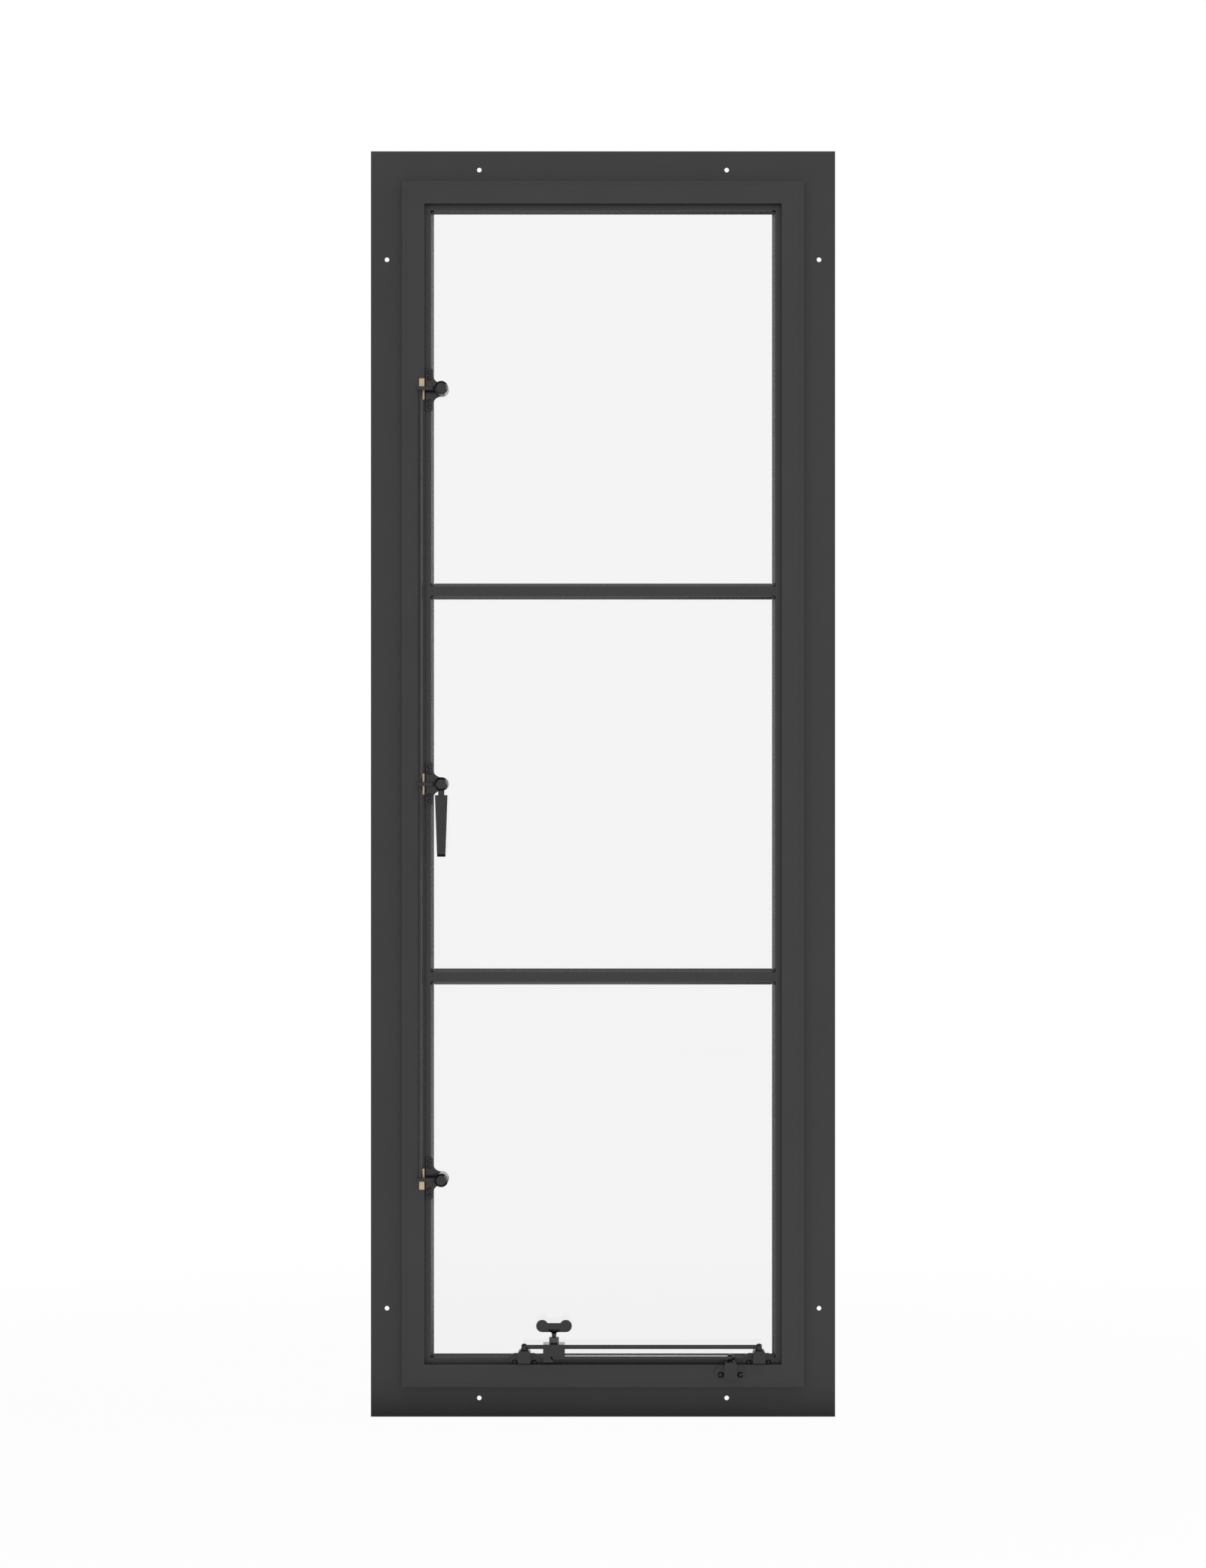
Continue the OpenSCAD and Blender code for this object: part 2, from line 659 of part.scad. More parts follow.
// Bracket on the sash, with a domed and drilled post that holds one end of the stay rod
module sash_bracket(x)
    color(hardware_paint) in_place() translate([x, 0, 0]) difference() {
        union() {
            bracket_body(sash_recess, face_w + sash_plate_up, face_w + lug_lift, lug_top_z);
            translate([0, 0, lug_top_z]) post_foot(post_d / 2);
            translate([0, stay_v, lug_top_z]) cylinder(d = post_d, h = lug_below_rod, $fn = round_steps);
            translate([0, stay_v, stay_z]) sphere(d = post_d, $fn = round_steps);
        }
        translate([0, stay_v, stay_z]) rotate([0, 90, 0])
            cylinder(r = stay_rod_d / 2 + pin_fit, h = post_d, center = true, $fn = small_steps);
    }

module stay_bracket_left() sash_bracket(stay_left_x);
module stay_bracket_right() sash_bracket(stay_right_x);

// Rod whose ends stop just inside the posts
module stay_rod() {
    spare = post_d / 2 - rod_end_in;
    color(hardware_paint) in_place() translate([stay_left_x - spare, stay_v, stay_z]) rotate([0, 90, 0])
        cylinder(d = stay_rod_d, h = stay_len + 2 * spare, $fn = small_steps);
}

// Block that slides on the rod, with the collar for the thumb screw and a pin for the arm
module stay_block() {
    left = -block_w / 2;
    right = block_w / 2;
    low = -rod_in_block;
    high = low + block_h;
    color(hardware_paint) in_place() translate([block_x, 0, stay_z]) {
        difference() {
            union() {
                slab(stay_v - block_d / 2, stay_v + block_d / 2) polygon([
                    [left, low - block_lug_h], [-block_lug_in, low - block_lug_h],
                    [-block_lug_in - block_lug_slope, low], [right, low],
                    [right, high - block_chamfer], [right - block_chamfer, high],
                    [left + block_chamfer, high], [left, high - block_chamfer]
                ]);
                translate([0, stay_v, high - cut_over])
                    cylinder(d = collar_d, h = collar_h + cut_over, $fn = collar_sides);
            }
            translate([0, stay_v, 0]) rotate([0, 90, 0]) cylinder(
                r = stay_rod_d / 2 + pin_fit, h = block_w + 2 * cut_over, center = true, $fn = small_steps
            );
            translate([0, stay_v, 0])
                cylinder(r = shank_r + pin_fit, h = high + collar_h + cut_over, $fn = small_steps);
            translate([-block_pin_off, stay_v, low - block_lug_h - cut_over])
                cylinder(r = stay_arm_w / 2 + slide_gap, h = block_lug_h + cut_over, $fn = round_steps);
        }
        translate([-block_pin_off, stay_v, low - 2 * slide_gap - stay_arm_t])
            cylinder(r = arm_pin_r, h = stay_arm_t + 2 * slide_gap + cut_over, $fn = small_steps);
    }
}

// Thumb screw with two round wings on a stem that flares below them
module thumb_screw() {
    seat_z = block_top_z + collar_h + slide_gap;
    wing_z = seat_z + stem_h;
    shank_low = stay_z + stay_rod_d / 2 + slide_gap;
    color(hardware_paint) in_place() translate([block_x, stay_v, 0]) {
        translate([0, 0, shank_low]) cylinder(r = shank_r, h = wing_z - shank_low, $fn = small_steps);
        translate([0, 0, seat_z]) rotate_extrude($fn = round_steps) difference() {
            polygon([
                [0, 0], [stem_d / 2 + cove_r, 0], [stem_d / 2 + cove_r, stem_h],
                [flare_d / 2, stem_h + flare_up - flare_rim], [flare_d / 2, stem_h + flare_up],
                [0, stem_h + flare_up]
            ]);
            translate([stem_d / 2, -cut_over]) square([cove_r + cut_over, stem_h - cove_r + cut_over]);
            translate([stem_d / 2 + cove_r, stem_h - cove_r]) circle(r = cove_r, $fn = small_steps);
        }
        slab(-wing_t / 2, wing_t / 2) {
            translate([-wing_reach, wing_z]) square([2 * wing_reach, wing_web_h]);
            for (side = [-1, 1])
                translate([side * wing_reach, wing_z + wing_lobe_r])
                    circle(r = wing_lobe_r, $fn = round_steps);
        }
    }
}

// Flat arm with a round end under the block and a ball shaped eye on the post of the frame
module stay_arm() {
    length = arm_pivot_x - block_pin_x;
    color(hardware_paint) in_place() translate([block_pin_x, stay_v, arm_mid_z]) difference() {
        union() {
            translate([0, 0, -stay_arm_t / 2]) linear_extrude(stay_arm_t) {
                translate([0, -stay_arm_w / 2]) square([length - stay_arm_w / 2, stay_arm_w]);
                for (x = [0, length - stay_arm_w / 2]) translate([x, 0])
                    circle(d = stay_arm_w, $fn = round_steps);
            }
            translate([length, 0, 0]) sphere(d = arm_eye_d, $fn = round_steps);
        }
        translate([length, 0, -eye_flat - arm_eye_d])
            cylinder(d = 2 * arm_eye_d, h = arm_eye_d, $fn = small_steps);
        for (x = [0, length]) translate([x, 0, 0])
            cylinder(r = arm_pin_r + pin_fit, h = 2 * arm_eye_d, center = true, $fn = small_steps);
    }
}

// Bracket on the frame face, with a flared foot and a pin for the eye of the arm
module stay_frame_bracket() {
    plate_z = face_w - frame_plate_down;
    foot_z = eye_low_z - slide_gap - post_foot_h;
    pin_end_z = arm_mid_z + arm_eye_d / 2 - pin_end_in;
    color(hardware_paint) in_place() translate([arm_pivot_x, 0, 0]) {
        bracket_body(0, plate_z, plate_z - oval_h / 2 + frame_lug_up, foot_z);
        translate([0, 0, foot_z]) post_foot(post_d / 2);
        translate([0, stay_v, foot_z]) cylinder(r = arm_pin_r, h = pin_end_z - foot_z, $fn = small_steps);
    }
}

// Butt hinge: knuckle ends on the frame leaf, middle knuckle on the sash leaf, and a pin
module hinge(z) {
    r = knuckle_d / 2;
    leaf_h = hinge_h - 2 * hinge_end_h - 2 * slide_gap;
    end_up = (hinge_h - hinge_end_h) / 2;
    color(steel_paint) in_place() translate([hinge_x, 0, z]) {
        for (end = [-1, 1]) translate([0, hinge_v, end * end_up]) difference() {
            union() {
                cylinder(r = r, h = hinge_end_h, center = true, $fn = small_steps);
                translate([-hinge_foot_w / 2, frame_d - hinge_v, -hinge_end_h / 2])
                    cube([hinge_foot_w, hinge_v - frame_d, hinge_end_h]);
            }
            cylinder(r = r / 2 + pin_fit, h = hinge_end_h + 2 * cut_over, center = true, $fn = small_steps);
        }
        translate([0, hinge_v, 0]) difference() {
            union() {
                cylinder(r = r, h = leaf_h, center = true, $fn = small_steps);
                translate([-hinge_leaf_w, sash_back_v - hinge_v, -leaf_h / 2])
                    cube([hinge_leaf_w, hinge_leaf_t, leaf_h]);
            }
            cylinder(r = r / 2 + pin_fit, h = leaf_h + 2 * cut_over, center = true, $fn = small_steps);
        }
        translate([0, hinge_v, 0]) cylinder(r = r / 2, h = hinge_h, center = true, $fn = small_steps);
    }
}

module hinge_top() hinge(frame_h - hinge_in);
module hinge_middle() hinge(frame_h / 2);
module hinge_bottom() hinge(hinge_in);

frame_head();
frame_sill();
frame_left_jamb();
frame_right_jamb();
flange_head();
flange_sill();
flange_left();
flange_right();
sash_top_rail();
sash_bottom_rail();
sash_lock_stile();
sash_hinge_stile();
glazing_bar_upper();
glazing_bar_lower();
glass_top();
glass_middle();
glass_bottom();
beads_top();
beads_middle();
beads_bottom();
weather_seal();
lock_plate_top();
lock_plate_middle();
lock_plate_bottom();
lock_arm_top();
lock_arm_middle();
lock_arm_bottom();
lock_knob_top();
lock_knob_middle();
lock_knob_bottom();
lever_handle();
tie_rod();
strikes();
stay_rod();
stay_bracket_left();
stay_bracket_right();
stay_block();
thumb_screw();
stay_arm();
stay_frame_bracket();
hinge_top();
hinge_middle();
hinge_bottom();
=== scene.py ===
import json
import math

import bmesh
import bpy
from mathutils import Matrix, Vector


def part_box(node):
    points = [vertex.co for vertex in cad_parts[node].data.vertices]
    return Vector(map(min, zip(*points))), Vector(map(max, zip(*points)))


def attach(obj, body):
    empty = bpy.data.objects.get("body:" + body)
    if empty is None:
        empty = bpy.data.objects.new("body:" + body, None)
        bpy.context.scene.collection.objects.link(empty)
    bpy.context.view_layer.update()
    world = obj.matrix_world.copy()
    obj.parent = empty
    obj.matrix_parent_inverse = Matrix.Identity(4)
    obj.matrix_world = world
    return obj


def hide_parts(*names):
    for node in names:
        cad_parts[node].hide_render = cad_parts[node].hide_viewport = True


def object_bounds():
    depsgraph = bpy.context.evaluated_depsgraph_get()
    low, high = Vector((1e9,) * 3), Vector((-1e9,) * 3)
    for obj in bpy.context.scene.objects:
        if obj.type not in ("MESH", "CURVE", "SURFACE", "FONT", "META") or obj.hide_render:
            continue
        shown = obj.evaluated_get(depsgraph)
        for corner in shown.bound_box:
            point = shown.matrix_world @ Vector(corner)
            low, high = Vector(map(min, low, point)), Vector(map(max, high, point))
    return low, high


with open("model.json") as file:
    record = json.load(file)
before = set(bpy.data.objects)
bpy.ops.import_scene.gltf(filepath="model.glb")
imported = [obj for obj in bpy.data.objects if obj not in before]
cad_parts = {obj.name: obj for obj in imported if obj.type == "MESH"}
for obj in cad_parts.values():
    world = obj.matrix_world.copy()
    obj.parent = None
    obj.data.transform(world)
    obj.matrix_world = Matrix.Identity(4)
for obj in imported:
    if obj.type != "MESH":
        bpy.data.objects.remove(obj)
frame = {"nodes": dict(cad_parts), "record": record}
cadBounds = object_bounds()
nodes = frame["nodes"]
print("frame: %d nodes" % len(nodes))


# Colours are written as sRGB hex and used as linear light
def linear(hexText):
    channels = [int(hexText[i:i + 2], 16) / 255 for i in (1, 3, 5)]
    return [c / 12.92 if c <= 0.04045 else ((c + 0.055) / 1.055) ** 2.4 for c in channels] + [1.0]


# Adds one node, sets what is given by name, and fills or links its inputs
def addNode(tree, kind, inputs=None, **settings):
    node = tree.nodes.new(kind)
    for name, value in settings.items():
        setattr(node, name, value)
    for socket, value in (inputs or {}).items():
        if isinstance(value, bpy.types.NodeSocket):
            tree.links.new(value, node.inputs[socket])
        else:
            node.inputs[socket].default_value = value
    return node


def perMillimetre(size):
    return 1000 / size  # a texture scale for a pattern of that size, on coordinates in metres


def newMaterial(name):
    material = bpy.data.materials.new(name)
    material.use_nodes = True
    material.node_tree.nodes.clear()
    return material, material.node_tree


# Powder coat or stove enamel on steel: a thin skin with a faint orange peel, clouds of slightly
# different tone, and corners where the coat lies rounder than the steel
coat = {"toneLow": 0.12, "toneHigh": 0.42, "grainLow": 0.3, "grainHigh": 0.7, "glossSpread": 0.05,
        "peelDepth": 0.0002, "edgeSamples": 6}


def coatedSteel(name, look):
    material, tree = newMaterial(name)
    place = addNode(tree, "ShaderNodeTexCoord").outputs["Object"]
    clouds = addNode(tree, "ShaderNodeTexNoise", {
        "Vector": place, "Scale": perMillimetre(look["cloudMm"]), "Detail": 3.0, "Roughness": 0.6})
    grain = addNode(tree, "ShaderNodeTexNoise", {
        "Vector": place, "Scale": perMillimetre(look["grainMm"]), "Detail": 2.0, "Roughness": 0.5})
    tone = addNode(tree, "ShaderNodeMath", {0: clouds.outputs["Fac"], 1: grain.outputs["Fac"]},
                   operation="MULTIPLY")
    spread = addNode(tree, "ShaderNodeMapRange", {
        "Value": tone.outputs[0], "From Min": coat["toneLow"], "From Max": coat["toneHigh"]})
    colour = addNode(tree, "ShaderNodeMix", {
        0: spread.outputs[0], 6: linear(look["dark"]), 7: linear(look["light"])}, data_type="RGBA")
    gloss = addNode(tree, "ShaderNodeMapRange", {
        "Value": grain.outputs["Fac"], "From Min": coat["grainLow"], "From Max": coat["grainHigh"],
        "To Min": look["roughness"] - coat["glossSpread"],
        "To Max": look["roughness"] + coat["glossSpread"]})
    peel = addNode(tree, "ShaderNodeBump", {
        "Height": grain.outputs["Fac"], "Strength": look["peel"], "Distance": coat["peelDepth"]})
    if look["edgeMm"]:
        edge = addNode(tree, "ShaderNodeBevel", {"Radius": look["edgeMm"] / 1000},
                       samples=coat["edgeSamples"])
        tree.links.new(edge.outputs[0], peel.inputs["Normal"])
    shader = addNode(tree, "ShaderNodeBsdfPrincipled", {
        "Base Color": colour.outputs[2], "Roughness": gloss.outputs[0], "IOR": look["ior"],
        "Normal": peel.outputs[0]})
    if "bareFrom" in look:  # bare turned steel above that height
        height = addNode(tree, "ShaderNodeSeparateXYZ", {0: place}).outputs["Z"]
        bare = addNode(tree, "ShaderNodeMath", {0: height, 1: look["bareFrom"]},
                       operation="GREATER_THAN")
        steel = addNode(tree, "ShaderNodeMix", {
            0: bare.outputs[0], 6: colour.outputs[2], 7: linear(look["bare"])}, data_type="RGBA")
        tree.links.new(steel.outputs[2], shader.inputs["Base Color"])
        tree.links.new(bare.outputs[0], shader.inputs["Metallic"])
    addNode(tree, "ShaderNodeOutputMaterial", {"Surface": shader.outputs[0]})
    return material


framePaint = {
    "dark": "#2f2d30", "light": "#343235", "cloudMm": 90, "grainMm": 2.5,
    "roughness": 0.33, "peel": 0.08, "edgeMm": 0, "ior": 1.5,
}
# The glazing beads: the frame's paint in a lighter tone, a painted sheen standing in for the bright
# outside mirrored in their sloped faces
beadPaintWithPaintedSheen = {
    "dark": "#424042", "light": "#474547", "cloudMm": 60, "grainMm": 4.0,
    "roughness": 0.28, "peel": 0.03, "edgeMm": 0, "ior": 1.65,
}
hardwarePaint = {
    "dark": "#131213", "light": "#191719", "cloudMm": 30, "grainMm": 1.2,
    "roughness": 0.17, "peel": 0.04, "edgeMm": 1.3, "ior": 1.55,
}


# Satin brass, rolled: a soft warm metal with fine lines along its length
def rolledBrass(look):
    material, tree = newMaterial("satin_brass")
    place = addNode(tree, "ShaderNodeTexCoord").outputs["Object"]
    stretch = addNode(tree, "ShaderNodeMapping", {"Vector": place, "Scale": (1.0, 1.0, look["along"])})
    lines = addNode(tree, "ShaderNodeTexNoise", {
        "Vector": stretch.outputs[0], "Scale": perMillimetre(look["lineMm"]), "Detail": 3.0})
    colour = addNode(tree, "ShaderNodeMix", {
        0: lines.outputs["Fac"], 6: linear(look["dark"]), 7: linear(look["light"])}, data_type="RGBA")
    gloss = addNode(tree, "ShaderNodeMapRange", {
        "Value": lines.outputs["Fac"], "To Min": look["roughness"] - look["glossSpread"],
        "To Max": look["roughness"] + look["glossSpread"]})
    shader = addNode(tree, "ShaderNodeBsdfPrincipled", {
        "Base Color": colour.outputs[2], "Metallic": 1.0, "Roughness": gloss.outputs[0]})
    addNode(tree, "ShaderNodeOutputMaterial", {"Surface": shader.outputs[0]})
    return material


brassLook = {"dark": "#cab391", "light": "#dcc7a8", "lineMm": 1.0, "along": 0.08, "roughness": 0.42,
             "glossSpread": 0.08}


# Float glass: clear, faintly grey green, with waves far too shallow to see from the front
def floatGlass(look):
    material, tree = newMaterial("float_glass")
    place = addNode(tree, "ShaderNodeTexCoord").outputs["Object"]
    waves = addNode(tree, "ShaderNodeTexNoise", {
        "Vector": place, "Scale": perMillimetre(look["waveMm"]), "Detail": 1.0})
    bump = addNode(tree, "ShaderNodeBump", {
        "Height": waves.outputs["Fac"], "Strength": look["wave"], "Distance": look["waveDepth"]})
    shader = addNode(tree, "ShaderNodeBsdfPrincipled", {
        "Base Color": linear(look["tint"]), "Roughness": look["roughness"], "IOR": look["ior"],
        "Transmission Weight": 1.0, "Normal": bump.outputs[0]})
    clear = addNode(tree, "ShaderNodeBsdfTransparent", {"Color": linear(look["tint"])})
    path = addNode(tree, "ShaderNodeLightPath")
    both = addNode(tree, "ShaderNodeMixShader", {
        0: path.outputs["Is Shadow Ray"], 1: shader.outputs[0], 2: clear.outputs[0]})
    addNode(tree, "ShaderNodeOutputMaterial", {"Surface": both.outputs[0]})
    return material


glassLook = {"tint": "#f7f8f7", "waveMm": 220, "wave": 0.02, "waveDepth": 0.0002, "roughness": 0.0,
             "ior": 1.52}


# EPDM rubber: matt black with a fine skin
def sealRubber(look):
    material, tree = newMaterial("epdm_rubber")
    place = addNode(tree, "ShaderNodeTexCoord").outputs["Object"]
    skin = addNode(tree, "ShaderNodeTexNoise", {
        "Vector": place, "Scale": perMillimetre(look["skinMm"]), "Detail": 2.0})
    colour = addNode(tree, "ShaderNodeMix", {
        0: skin.outputs["Fac"], 6: linear(look["dark"]), 7: linear(look["light"])}, data_type="RGBA")
    bump = addNode(tree, "ShaderNodeBump", {
        "Height": skin.outputs["Fac"], "Strength": look["skin"], "Distance": look["skinDepth"]})
    shader = addNode(tree, "ShaderNodeBsdfPrincipled", {
        "Base Color": colour.outputs[2], "Roughness": look["roughness"], "IOR": 1.5,
        "Normal": bump.outputs[0]})
    addNode(tree, "ShaderNodeOutputMaterial", {"Surface": shader.outputs[0]})
    return material


rubberLook = {"dark": "#141414", "light": "#1c1c1c", "skinMm": 1.5, "skin": 0.2, "skinDepth": 0.0002,
              "roughness": 0.7}

rodPaint = {
    "dark": "#333133", "light": "#3b393b", "cloudMm": 40, "grainMm": 1.5,
    "roughness": 0.22, "peel": 0.06, "edgeMm": 0.4, "ior": 1.5,
}
bracketPaint = {
    "dark": "#252327", "light": "#29272a", "cloudMm": 30, "grainMm": 1.2,
    "roughness": 0.24, "peel": 0.02, "edgeMm": 0, "ior": 1.5,
}
# The sash has the frame's paint in a lighter tone: painted light that makes up for the shade the sash
# gets in its recess behind the frame
sashPaintLightenedAgainstShade = dict(framePaint, dark="#353336", light="#3a383b")
satinRod = coatedSteel("satin_coated_rod", rodPaint)
satinSashLightenedAgainstShade = coatedSteel("powder_coated_sash_lightened_against_shade", sashPaintLightenedAgainstShade)
satinBracket = coatedSteel("satin_coated_bracket", bracketPaint)
collarLook = {"height": 0.0097, "bare": "#535153"}  # the collar on the stay block is bare steel
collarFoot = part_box("stay_block")[1].z - collarLook["height"]
blockSteel = coatedSteel("enamelled_block_with_bare_collar", dict(
    hardwarePaint, edgeMm=0.6, bareFrom=collarFoot, bare=collarLook["bare"]))
enamelledSteel = coatedSteel("black_enamelled_steel", dict(hardwarePaint, edgeMm=0.15))
materials = {
    "frame_paint": coatedSteel("powder_coated_frame", framePaint),
    "bead_paint": coatedSteel("powder_coated_bead_with_painted_sheen", beadPaintWithPaintedSheen),
    "hardware": coatedSteel("black_enamelled_casting", hardwarePaint),
    "brass": rolledBrass(brassLook),
    "glass": floatGlass(glassLook),
    "seal": sealRubber(rubberLook),
}
ownFinish = {
    "tie_rod": satinRod, "stay_rod": satinRod, "stay_bracket_left": satinBracket,
    "stay_bracket_right": satinBracket, "stay_frame_bracket": satinBracket,
    "stay_block": blockSteel, "sash_top_rail": satinSashLightenedAgainstShade, "sash_bottom_rail": satinSashLightenedAgainstShade,
    "sash_lock_stile": satinSashLightenedAgainstShade, "sash_hinge_stile": satinSashLightenedAgainstShade,
}
for part in frame["record"]["subparts"]:
    node = nodes[part["node"]]
    node.data.materials.clear()
    node.data.materials.append(ownFinish.get(part["node"], materials[part["material_slot"]]))
print("materials: %d by slot, and %d nodes with a finish of their own" % (len(materials), len(ownFinish)))


# Round head screws with a cross recess, several in one mesh.
# Each place is the middle of the head's seat, and facing is -1 for the room and 1 for outside.
screwForm = {"rim": 0.15, "taper": 0.7, "sweep": (0, 18, 36, 54, 72, 90)}


def screwHeads(name, look, places, facing, finish):
    mesh = bmesh.new()
    radius, height = look["diameter"] / 2, look["height"]
    sweep = [math.radians(a) for a in screwForm["sweep"]]
    flat, rim = look["flat"], screwForm["rim"]
    dome = [(flat + (1 - flat) * math.cos(a), rim + (1 - rim) * math.sin(a)) for a in sweep]
    profile = [(1.0, 0.0)] + dome
    steps = look["steps"]
    arm, slot = look["recess"] * radius, look["slot"] / 2
    cross = [(slot, slot), (arm, slot), (arm, -slot), (slot, -slot), (slot, -arm), (-slot, -arm),
             (-slot, -slot), (-arm, -slot), (-arm, slot), (-slot, slot), (-slot, arm), (slot, arm)]
    for x, y, z, turn in places:
        def point(across, up, out):
            return mesh.verts.new((x + across, y + facing * out, z + up))
        rings = []
        for share, rise in profile:
            angles = [2 * math.pi * i / steps for i in range(steps)]
            reach = radius * share
            rings.append([point(reach * math.cos(a), reach * math.sin(a), height * rise) for a in angles])
        for low, high in zip(rings, rings[1:]):
            for i in range(steps):
                face = mesh.faces.new((low[i], low[i - 1], high[i - 1], high[i]))
                face.smooth = True
        spin = Matrix.Rotation(turn, 2)
        top = [point(*(spin @ Vector(corner)), height) for corner in cross]
        deep = [point(*(spin @ Vector(corner) * screwForm["taper"]), height - look["depth"])
                for corner in cross]
        outer = [mesh.edges.get((rings[-1][i - 1], rings[-1][i])) for i in range(steps)]
        edge = [mesh.edges.new((top[i - 1], top[i])) for i in range(len(cross))]
        bmesh.ops.triangle_fill(mesh, use_beauty=True, edges=outer + edge)
        for i in range(len(cross)):
            mesh.faces.new((top[i], top[i - 1], deep[i - 1], deep[i]))
        mesh.faces.new(deep)
    bmesh.ops.recalc_face_normals(mesh, faces=mesh.faces)
    data = bpy.data.meshes.new(name)
    mesh.to_mesh(data)
    mesh.free()
    data.materials.append(finish)
    piece = bpy.data.objects.new(name, data)
    bpy.context.scene.collection.objects.link(piece)
    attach(piece, "window")


plateScrew = {
    "diameter": 0.0068, "height": 0.0024, "flat": 0.54, "recess": 0.34, "slot": 0.00035,
    "depth": 0.0006, "steps": 28, "heights": (-0.0261, -0.0175, 0.0175, 0.0261),
    "fromEdge": 0.0056, "plate": 0.0035,
}
places = []
for count, row in enumerate(("top", "middle", "bottom")):
    low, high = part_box("lock_plate_" + row)
    for step, rise in enumerate(plateScrew["heights"]):
        places.append((low.x + plateScrew["fromEdge"], high.y - plateScrew["plate"],
                       (low.z + high.z) / 2 + rise, 0.4 + 1.7 * (4 * count + step)))
screwHeads("lock_plate_screws", plateScrew, places, -1, enamelledSteel)

bracketScrew = {
    "diameter": 0.0092, "height": 0.0038, "flat": 0.34, "recess": 0.30, "slot": 0.0007,
    "depth": 0.0011, "steps": 32, "aside": 0.01485, "up": 0.0075, "plate": 0.003,
}
for count, name in enumerate(("stay_bracket_left", "stay_bracket_right", "stay_frame_bracket")):
    low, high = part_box(name)
    onSash = name != "stay_frame_bracket"
    back = high.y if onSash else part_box("frame_sill")[0].y
    places = []
    for step, side in enumerate((-1, 1)):
        places.append(((low.x + high.x) / 2 + side * bracketScrew["aside"], back - bracketScrew["plate"],
                       low.z + bracketScrew["up"], 0.9 + 1.3 * (2 * count + step)))
    finish = satinBracket if onSash else enamelledSteel
    screwHeads(name + "_screws", bracketScrew, places, -1, finish)

hingeScrew = {
    "diameter": 0.0070, "height": 0.0009, "flat": 0.72, "recess": 0.55, "slot": 0.0005,
    "depth": 0.0006, "steps": 28, "apart": 0.0110, "fromEdge": 0.0080, "leaf": 0.0025,
}
places = []
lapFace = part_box("sash_hinge_stile")[1].y
for count, row in enumerate(("top", "middle", "bottom")):
    low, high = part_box("hinge_" + row)
    for step, side in enumerate((-1, 1)):
        places.append((low.x + hingeScrew["fromEdge"], lapFace + hingeScrew["leaf"],
                       (low.z + high.z) / 2 + side * hingeScrew["apart"], 0.2 + 1.1 * (2 * count + step)))
screwHeads("hinge_screws", hingeScrew, places, 1, enamelledSteel)
print("screws: 12 on the lock plates, 6 on the stay brackets, 6 on the hinges")


# The lever: a tapered grip with rounded edges and a chamfer at its tip, on a neck that fits the knob
def leverHandle(look):
    low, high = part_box("lever_handle")
    knobLow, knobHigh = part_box("lock_knob_middle")
    pivotX, pivotZ = (knobLow.x + knobHigh.x) / 2, (knobLow.z + knobHigh.z) / 2
    knobRadius = (knobHigh.x - knobLow.x) / 2
    gripTop = pivotZ - knobRadius - look["neckLength"]
    mesh = bmesh.new()

    def halfWidth(z):
        share = (z - low.z) / (gripTop - low.z)
        return (look["tipWidth"] + share * (high.x - low.x - look["tipWidth"])) / 2

    side = [(high.y, gripTop), (low.y, gripTop), (low.y, low.z + look["chamfer"]),
            (low.y + look["chamfer"], low.z), (high.y, low.z)]
    left = [mesh.verts.new((pivotX - halfWidth(z), y, z)) for y, z in side]
    right = [mesh.verts.new((pivotX + halfWidth(z), y, z)) for y, z in side]
    sink = gripTop - 2 * look["round"]
    reach = knobRadius + look["knobGap"]
    spread = math.asin(look["neckWidth"] / 2 / reach)
    turns = [spread * (2 * i / look["steps"] - 1) for i in range(look["steps"] + 1)]
    outline = [(pivotX + look["neckWidth"] / 2, sink), (pivotX - look["neckWidth"] / 2, sink)]
    outline += [(pivotX + reach * math.sin(a), pivotZ - reach * math.cos(a)) for a in turns]
    front = [mesh.verts.new((x, low.y + look["neckDrop"], z)) for x, z in outline]
    back = [mesh.verts.new((x, high.y, z)) for x, z in outline]
    for one, other in ((left, right), (front, back)):
        mesh.faces.new(one)
        mesh.faces.new(other[::-1])
        for i in range(len(one)):
            mesh.faces.new((one[i], one[i - 1], other[i - 1], other[i]))
    bmesh.ops.recalc_face_normals(mesh, faces=mesh.faces)
    for face in mesh.faces:
        face.smooth = True
    data = bpy.data.meshes.new("lever_grip")
    mesh.to_mesh(data)
    mesh.free()
    data.materials.append(enamelledSteel)
    piece = bpy.data.objects.new("lever_grip", data)
    bpy.context.scene.collection.objects.link(piece)
    soft = piece.modifiers.new("rounded edges", "BEVEL")
    soft.width = look["round"]
    soft.segments = look["roundSteps"]
    soft.limit_method = "ANGLE"
    soft.angle_limit = math.radians(look["sharpFrom"])
    soft.harden_normals = True
    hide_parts("lever_handle")
    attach(piece, "lever")


leverLook = {"tipWidth": 0.0126, "neckWidth": 0.0092, "neckLength": 0.0066, "neckDrop": 0.001,
             "chamfer": 0.0042, "round": 0.0005, "roundSteps": 3, "sharpFrom": 30,
             "knobGap": 0.0001, "steps": 8}
leverHandle(leverLook)
print("lever: grip and neck")


